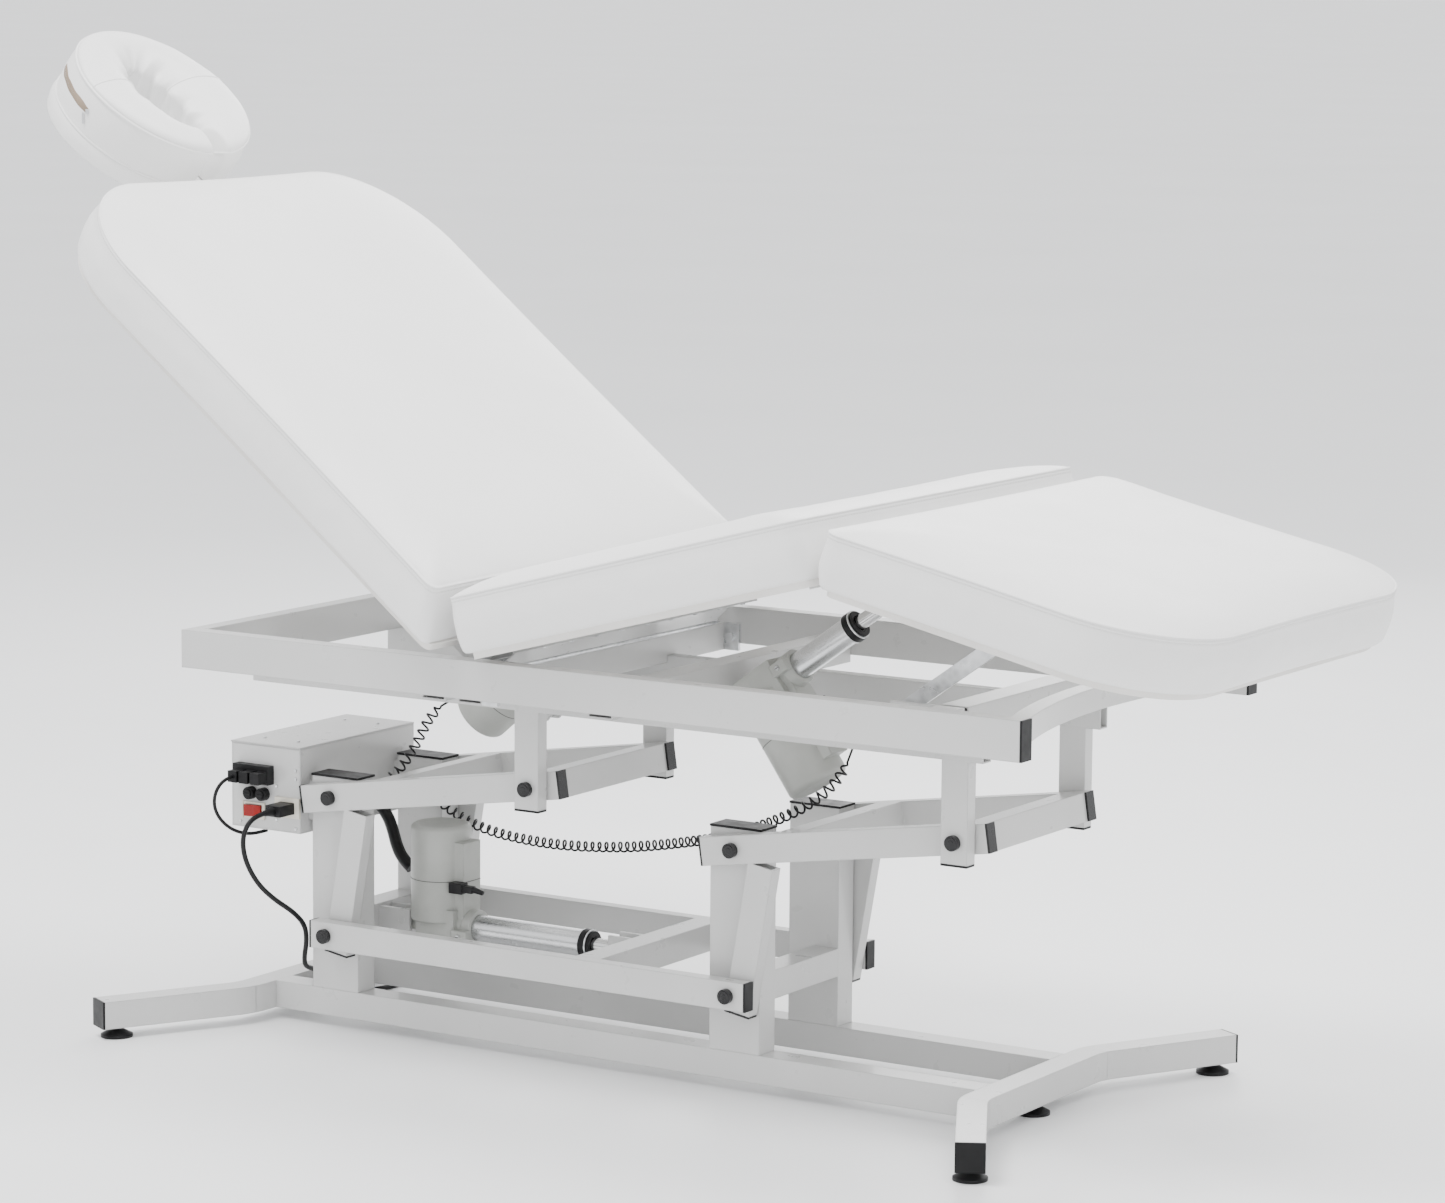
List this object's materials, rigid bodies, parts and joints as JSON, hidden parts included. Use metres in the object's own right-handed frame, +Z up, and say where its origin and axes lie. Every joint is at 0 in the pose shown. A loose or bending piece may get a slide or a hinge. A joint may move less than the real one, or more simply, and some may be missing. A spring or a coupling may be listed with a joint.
{
  "type": "facial treatment bed",
  "caption": "Powered treatment bed with white upholstered back, seat and leg sections, a horseshoe face cradle, a parallelogram lift and a control box.",
  "frame": {"origin": "middle of the bed's length and width, at floor level", "axes": "+X to the foot end, +Y across to the bed's far side, +Z up"},
  "size_m": [1.9536, 0.73, 1.3585],
  "materials": {
    "white_steel": "semi-gloss white powder coat",
    "white_vinyl": "satin white vinyl over foam",
    "panel_board": "white faced board, covered at the edges",
    "black_plastic": "moulded black plastic",
    "black_bolt": "black caps and bolt heads",
    "cream_plastic": "cream moulded plastic",
    "red_plastic": "translucent red switch cap",
    "black_rubber": "satin black lead",
    "zinc_steel": "zinc plated steel",
    "grey_plastic": "light grey moulded housing",
    "brushed_tube": "satin anodised tube",
    "rod_steel": "smooth bright steel rod"
  },
  "bodies": {
    "base": {"base_rails": "white_steel", "cross_feet": "white_steel", "posts": "white_steel", "base_plugs": "black_plastic", "post_bolts": "black_bolt", "control_box": "white_steel", "control_box_cover": "white_steel", "plug_block": "black_plastic", "panel_fittings": "cream_plastic", "mains_connector": "black_rubber", "mains_lead": "black_rubber", "mains_coil": "black_rubber", "mains_wall_plug": "black_rubber", "control_lead": "black_rubber", "motor_conduit": "black_rubber"},
    "rocker": {"rocker_switch": "red_plastic"},
    "head_crank": {"head_crank": "white_steel", "head_crank_fittings": "black_bolt", "leg_curly_cord": "black_rubber", "back_curly_cord": "black_rubber"},
    "foot_crank": {"foot_crank": "white_steel", "foot_crank_fittings": "black_bolt"},
    "link": {"link_frame": "white_steel", "link_plugs": "black_plastic"},
    "upper_frame": {"upper_rails": "white_steel", "upper_plugs": "black_plastic", "drop_frames": "white_steel", "cross_tubes": "white_steel", "hinge_hardware": "zinc_steel"},
    "back_section": {"back_cushion": "white_vinyl", "back_board": "panel_board", "back_frame": "white_steel"},
    "seat_section": {"seat_cushion": "white_vinyl", "seat_board": "panel_board", "seat_frame": "white_steel"},
    "leg_section": {"leg_cushion": "white_vinyl", "leg_board": "panel_board", "leg_frame": "white_steel"},
    "leg_tie_bars": {"leg_ties": "zinc_steel"},
    "head_support": {"head_stem": "zinc_steel"},
    "cradle": {"cradle_cushion": "white_vinyl", "cradle_base_pad": "white_vinyl", "cradle_plate": "white_steel"},
    "lift_drive": {"lift_motor": "grey_plastic", "lift_drive_tube": "brushed_tube"},
    "lift_screw": {"lift_rod": "rod_steel"},
    "back_drive": {"back_motor": "grey_plastic", "back_drive_tube": "brushed_tube"},
    "back_screw": {"back_rod": "rod_steel"},
    "leg_drive": {"leg_motor": "grey_plastic", "leg_drive_tube": "brushed_tube"},
    "leg_screw": {"leg_rod": "rod_steel"},
    "foot_1": {"levelling_foot_1": "black_plastic"},
    "foot_2": {"levelling_foot_2": "black_plastic"},
    "foot_3": {"levelling_foot_3": "black_plastic"},
    "foot_4": {"levelling_foot_4": "black_plastic"},
    "foot_5": {"levelling_foot_5": "black_plastic"},
    "foot_6": {"levelling_foot_6": "black_plastic"}
  },
  "joints": [
    {"name": "lift", "type": "hinge", "parent": "base", "child": "head_crank", "pos_m": [-0.4236, 0, 0.3265], "axis": [0, -1, 0], "range_deg": [-5, 38], "deforming": ["leg_curly_cord", "back_curly_cord"]},
    {"name": "foot_crank_turn", "type": "hinge", "parent": "base", "child": "foot_crank", "pos_m": [0.2264, 0, 0.3265], "axis": [0, -1, 0], "range_deg": [-5.2, 38.2]},
    {"name": "frame_level", "type": "hinge", "parent": "head_crank", "child": "upper_frame", "pos_m": [-0.0806, 0, 0.378], "axis": [0, -1, 0], "range_deg": [-38.2, 5.2]},
    {"name": "link_level", "type": "hinge", "parent": "head_crank", "child": "link", "pos_m": [-0.4146, 0, 0.139], "axis": [0, -1, 0], "range_deg": [-38.2, 5.2]},
    {"name": "lift_drive_tilt", "type": "hinge", "parent": "base", "child": "lift_drive", "pos_m": [-0.3936, 0, 0.138], "axis": [0, -1, 0], "range_deg": [-2, 6]},
    {"name": "lift_screw_travel", "type": "slide", "parent": "lift_drive", "child": "lift_screw", "axis": [1, 0, 0], "range_m": [-0.02, 0.125]},
    {"name": "back_recline", "type": "hinge", "parent": "upper_frame", "child": "back_section", "pos_m": [-0.1006, 0, 0.552], "axis": [0, 1, 0], "range_deg": [-38.2, 0]},
    {"name": "back_drive_tilt", "type": "hinge", "parent": "upper_frame", "child": "back_drive", "pos_m": [-0.1656, 0, 0.455], "axis": [0, 1, 0], "range_deg": [-40, 0.5]},
    {"name": "back_screw_travel", "type": "slide", "parent": "back_drive", "child": "back_screw", "axis": [-0.6433, 0, 0.7656], "range_m": [-0.08, 0.001]},
    {"name": "seat_tilt", "type": "hinge", "parent": "upper_frame", "child": "seat_section", "pos_m": [-0.0596, 0, 0.552], "axis": [0, -1, 0], "range_deg": [-13, 4]},
    {"name": "knee_bend", "type": "hinge", "parent": "seat_section", "child": "leg_section", "pos_m": [0.4814, 0, 0.706], "axis": [0, -1, 0], "range_deg": [-8, 25]},
    {"name": "leg_tie_swing", "type": "hinge", "parent": "upper_frame", "child": "leg_tie_bars", "pos_m": [0.5134, 0, 0.545], "axis": [0, -1, 0], "range_deg": [-35, 11]},
    {"name": "leg_drive_tilt", "type": "hinge", "parent": "upper_frame", "child": "leg_drive", "pos_m": [0.1434, 0, 0.482], "axis": [0, -1, 0], "range_deg": [-20.5, 7]},
    {"name": "leg_screw_travel", "type": "slide", "parent": "leg_drive", "child": "leg_screw", "axis": [0.816, 0, 0.578], "range_m": [-0.036, 0.012]},
    {"name": "head_support_slide", "type": "slide", "parent": "back_section", "child": "head_support", "axis": [-0.7859, 0, 0.6184], "range_m": [0, 0.06]},
    {"name": "cradle_tilt", "type": "hinge", "parent": "head_support", "child": "cradle", "pos_m": [-0.77404, 0, 1.1038], "axis": [0, 1, 0], "range_deg": [-35, 5]},
    {"name": "power_switch_rock", "type": "hinge", "parent": "base", "child": "rocker", "pos_m": [-0.5601, -0.135, 0.2935], "axis": [0, 0, 1], "range_deg": [-14, 0]},
    {"name": "levelling_screw_1", "type": "slide", "parent": "base", "child": "foot_1", "axis": [0, 0, 1], "range_m": [-0.012, 0]},
    {"name": "levelling_screw_2", "type": "slide", "parent": "base", "child": "foot_2", "axis": [0, 0, 1], "range_m": [-0.012, 0]},
    {"name": "levelling_screw_3", "type": "slide", "parent": "base", "child": "foot_3", "axis": [0, 0, 1], "range_m": [-0.012, 0]},
    {"name": "levelling_screw_4", "type": "slide", "parent": "base", "child": "foot_4", "axis": [0, 0, 1], "range_m": [-0.012, 0]},
    {"name": "levelling_screw_5", "type": "slide", "parent": "base", "child": "foot_5", "axis": [0, 0, 1], "range_m": [-0.012, 0]},
    {"name": "levelling_screw_6", "type": "slide", "parent": "base", "child": "foot_6", "axis": [0, 0, 1], "range_m": [-0.012, 0]}
  ],
  "couplings": [
    {"joint": "foot_crank_turn", "follows": "lift", "ratio": 1},
    {"joint": "frame_level", "follows": "lift", "ratio": -1},
    {"joint": "link_level", "follows": "lift", "ratio": -1},
    {"joint": "lift_drive_tilt", "follows": "lift", "ratio": 0.12},
    {"joint": "lift_screw_travel", "follows": "lift", "m_per_rad": 0.178},
    {"joint": "back_drive_tilt", "follows": "back_recline", "ratio": 1},
    {"joint": "back_screw_travel", "follows": "back_recline", "m_per_rad": 0.1134},
    {"joint": "knee_bend", "follows": "seat_tilt", "ratio": -1.82},
    {"joint": "leg_tie_swing", "follows": "seat_tilt", "ratio": 2.56},
    {"joint": "leg_drive_tilt", "follows": "seat_tilt", "ratio": 1.5},
    {"joint": "leg_screw_travel", "follows": "seat_tilt", "m_per_rad": 0.149}
  ]
}
